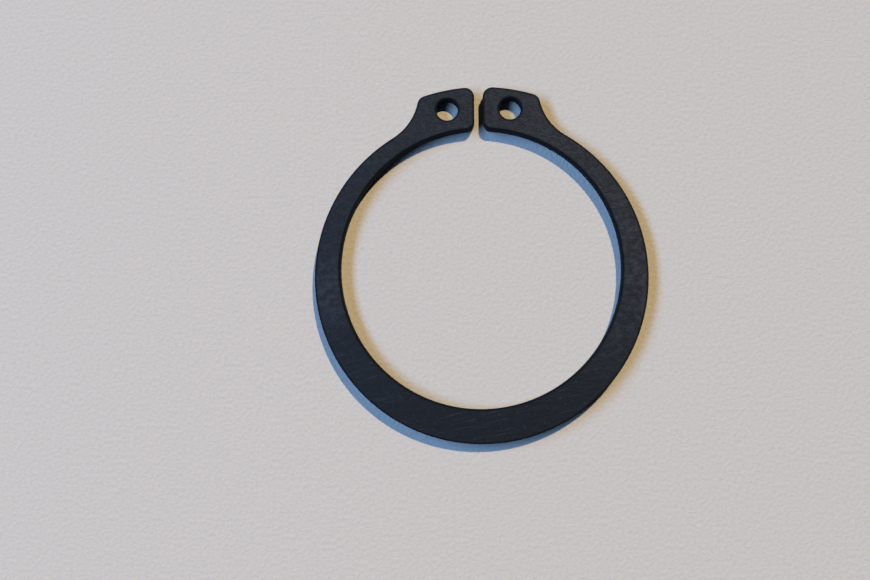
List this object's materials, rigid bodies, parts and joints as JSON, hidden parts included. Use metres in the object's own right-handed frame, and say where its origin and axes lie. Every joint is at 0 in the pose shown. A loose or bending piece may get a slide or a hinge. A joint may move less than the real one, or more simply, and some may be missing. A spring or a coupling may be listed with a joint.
{
  "type": "external circlip retaining ring",
  "caption": "Open tapered spring steel ring that snaps into a groove on a shaft and holds what sits on it; two lugs with holes take the tips of circlip pliers.",
  "frame": {"origin": "on the shaft's axis, at the ring's underside", "axes": "+Z along the shaft's axis, through the thickness, towards the face with the rounded edges; +Y through the gap between the lugs; +X towards the right lug"},
  "size_m": [0.038, 0.041, 0.0015],
  "materials": {
    "phosphated_steel": "black phosphated and oiled, matt"
  },
  "bodies": {
    "root": {"retaining_ring": "phosphated_steel"}
  },
  "joints": []
}
